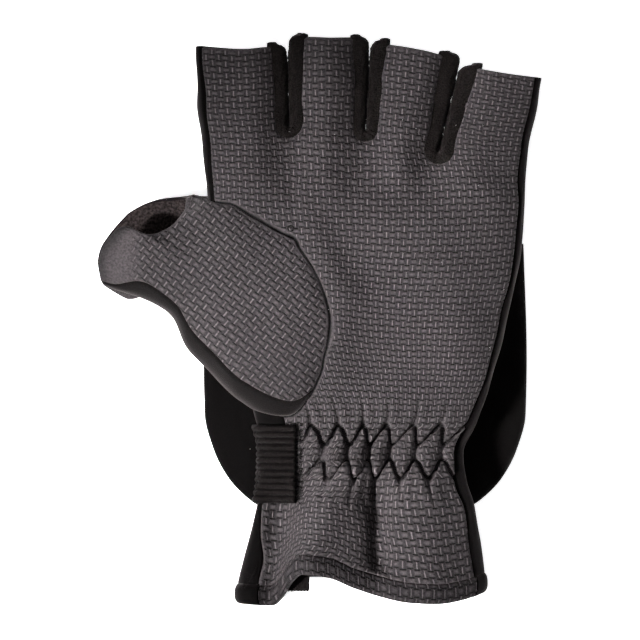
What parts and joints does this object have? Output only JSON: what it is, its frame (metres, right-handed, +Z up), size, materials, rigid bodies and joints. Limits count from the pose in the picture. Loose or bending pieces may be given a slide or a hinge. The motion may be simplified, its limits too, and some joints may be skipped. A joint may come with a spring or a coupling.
{
  "type": "fishing glove",
  "caption": "Left-hand half-finger fishing glove of embossed foam cloth with a gathered wrist and flared cuff, its mitten cap and thumb cap folded back, lying palm up.",
  "frame": {"origin": "middle of the glove's outline on the surface that it rests on", "axes": "+Z up through the palm, +Y towards the fingertips, -X towards the thumb"},
  "size_m": [0.156, 0.1992, 0.0449],
  "materials": {
    "woven_cloth": "embossed basket-weave foam cloth, dark warm grey",
    "smooth_cloth": "smooth black jersey on foam",
    "plush_cloth": "black plush",
    "webbing": "ribbed black webbing"
  },
  "bodies": {
    "root": {"palm_panel": "woven_cloth", "back_panel": "smooth_cloth", "fourchette_index_middle": "plush_cloth", "fourchette_middle_ring": "plush_cloth", "fourchette_ring_little": "plush_cloth", "thumb_front_panel": "woven_cloth", "thumb_back_panel": "smooth_cloth", "thumb_cap": "smooth_cloth", "mitten_cap_upper": "smooth_cloth", "mitten_cap_lower": "smooth_cloth", "cuff_hem_palm": "woven_cloth", "cuff_hem_back": "smooth_cloth", "wrist_strap": "webbing", "pull_tab": "webbing"}
  },
  "joints": []
}
